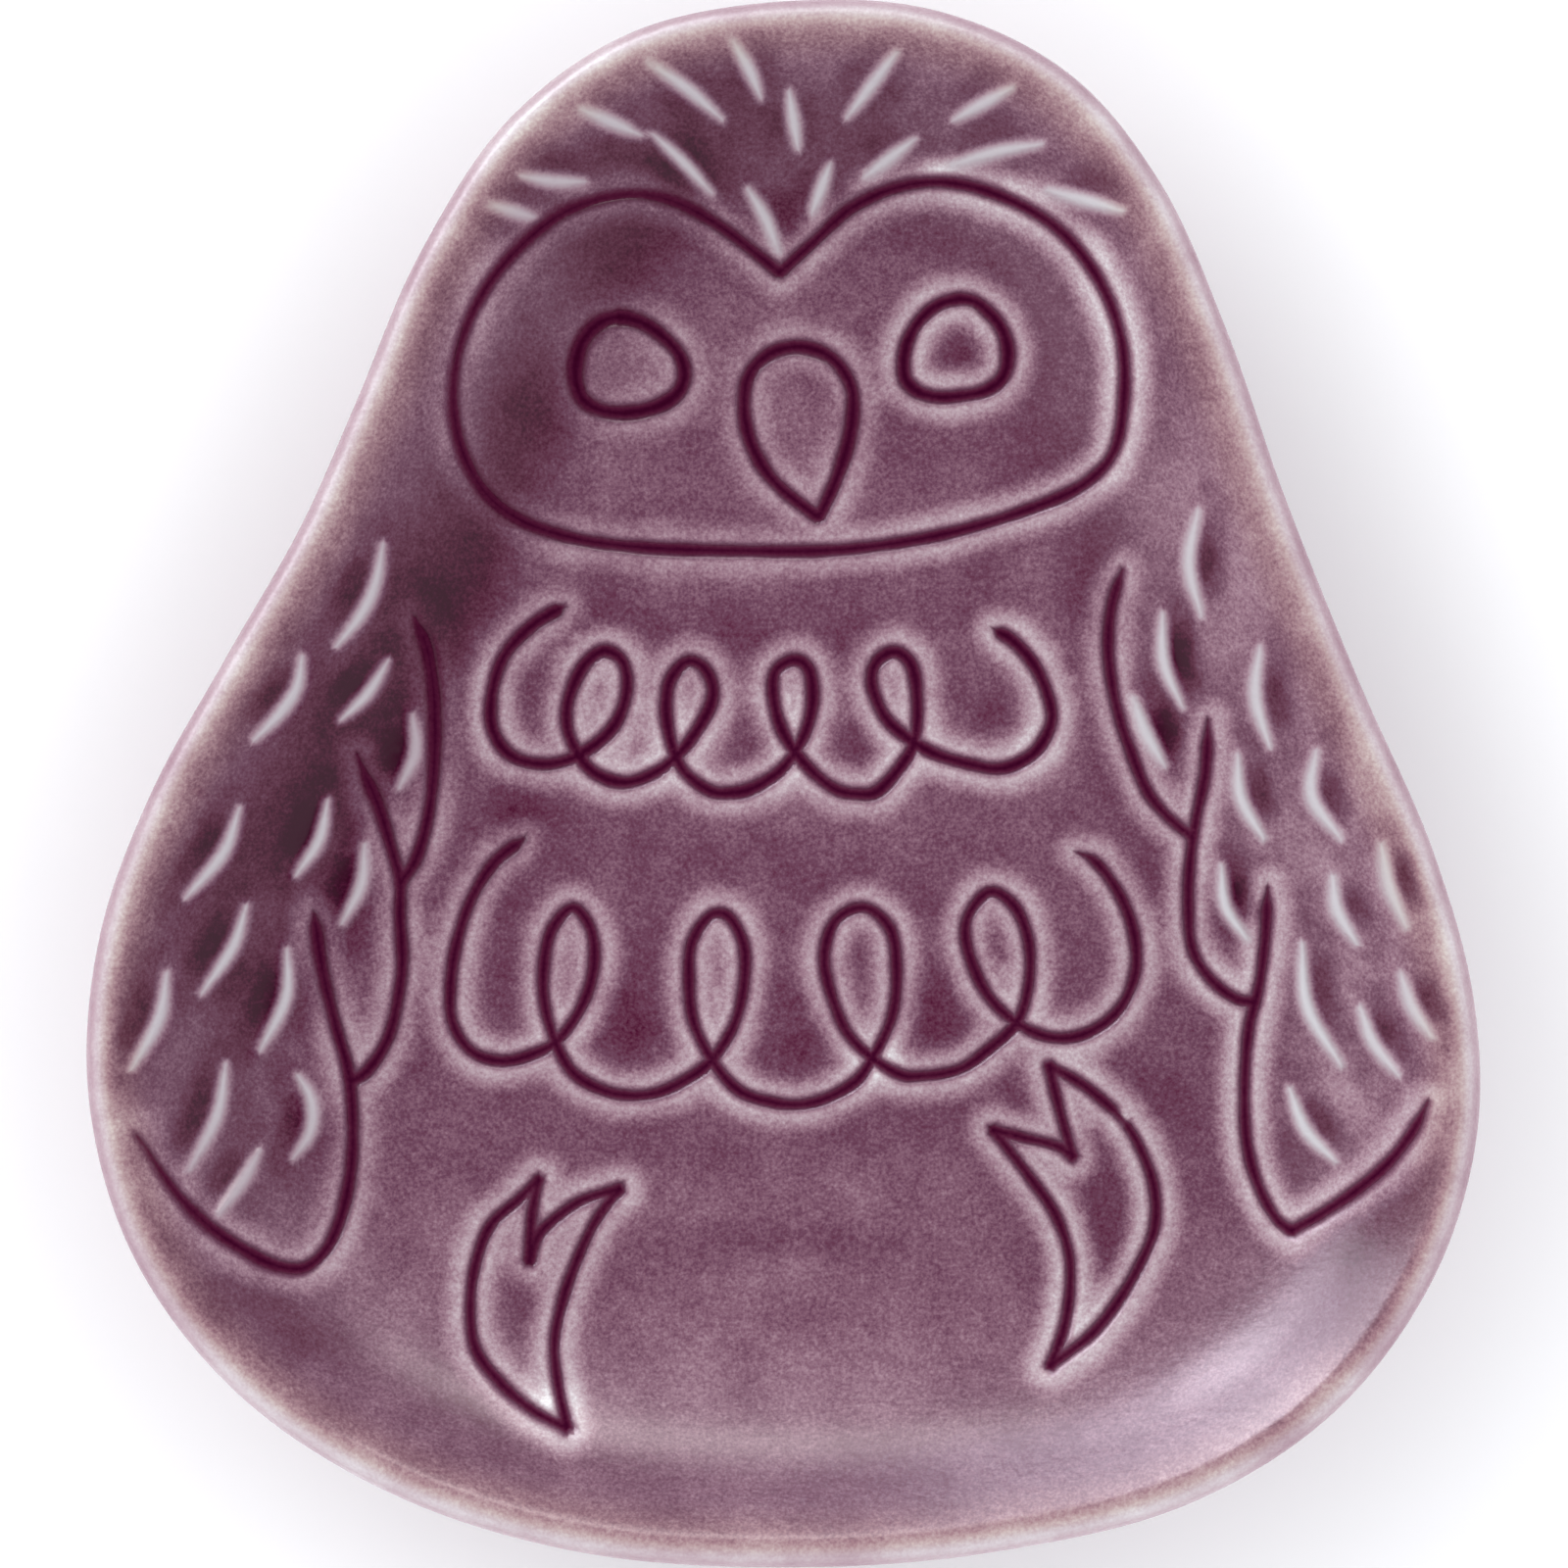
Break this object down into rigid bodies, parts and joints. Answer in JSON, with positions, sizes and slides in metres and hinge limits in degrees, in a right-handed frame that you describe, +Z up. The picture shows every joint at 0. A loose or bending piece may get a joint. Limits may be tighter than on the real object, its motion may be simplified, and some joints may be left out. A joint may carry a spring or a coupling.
{
  "type": "owl-shaped shallow dish",
  "caption": "Small shallow glazed stoneware dish in the outline of an owl, with pressed face, feather and foot lines in the well and raised feather strokes on the wall.",
  "frame": {"origin": "centre of the bounding box at the bottom of the foot ring", "axes": "+X to the right seen from above, +Y towards the owl's head, +Z up"},
  "size_m": [0.1199, 0.135, 0.019],
  "materials": {
    "glaze": "gloss, mottled",
    "pooled_glaze": "gloss",
    "bare_clay": "matt, unglazed"
  },
  "bodies": {
    "root": {"clay_body": "glaze", "foot_ring": "bare_clay", "face_line_glaze": "pooled_glaze", "left_eye_glaze": "pooled_glaze", "right_eye_glaze": "pooled_glaze", "beak_glaze": "pooled_glaze", "upper_scallop_glaze": "pooled_glaze", "lower_scallop_glaze": "pooled_glaze", "left_wing_glaze": "pooled_glaze", "right_wing_glaze": "pooled_glaze", "left_foot_glaze": "pooled_glaze", "right_foot_glaze": "pooled_glaze"}
  },
  "joints": []
}
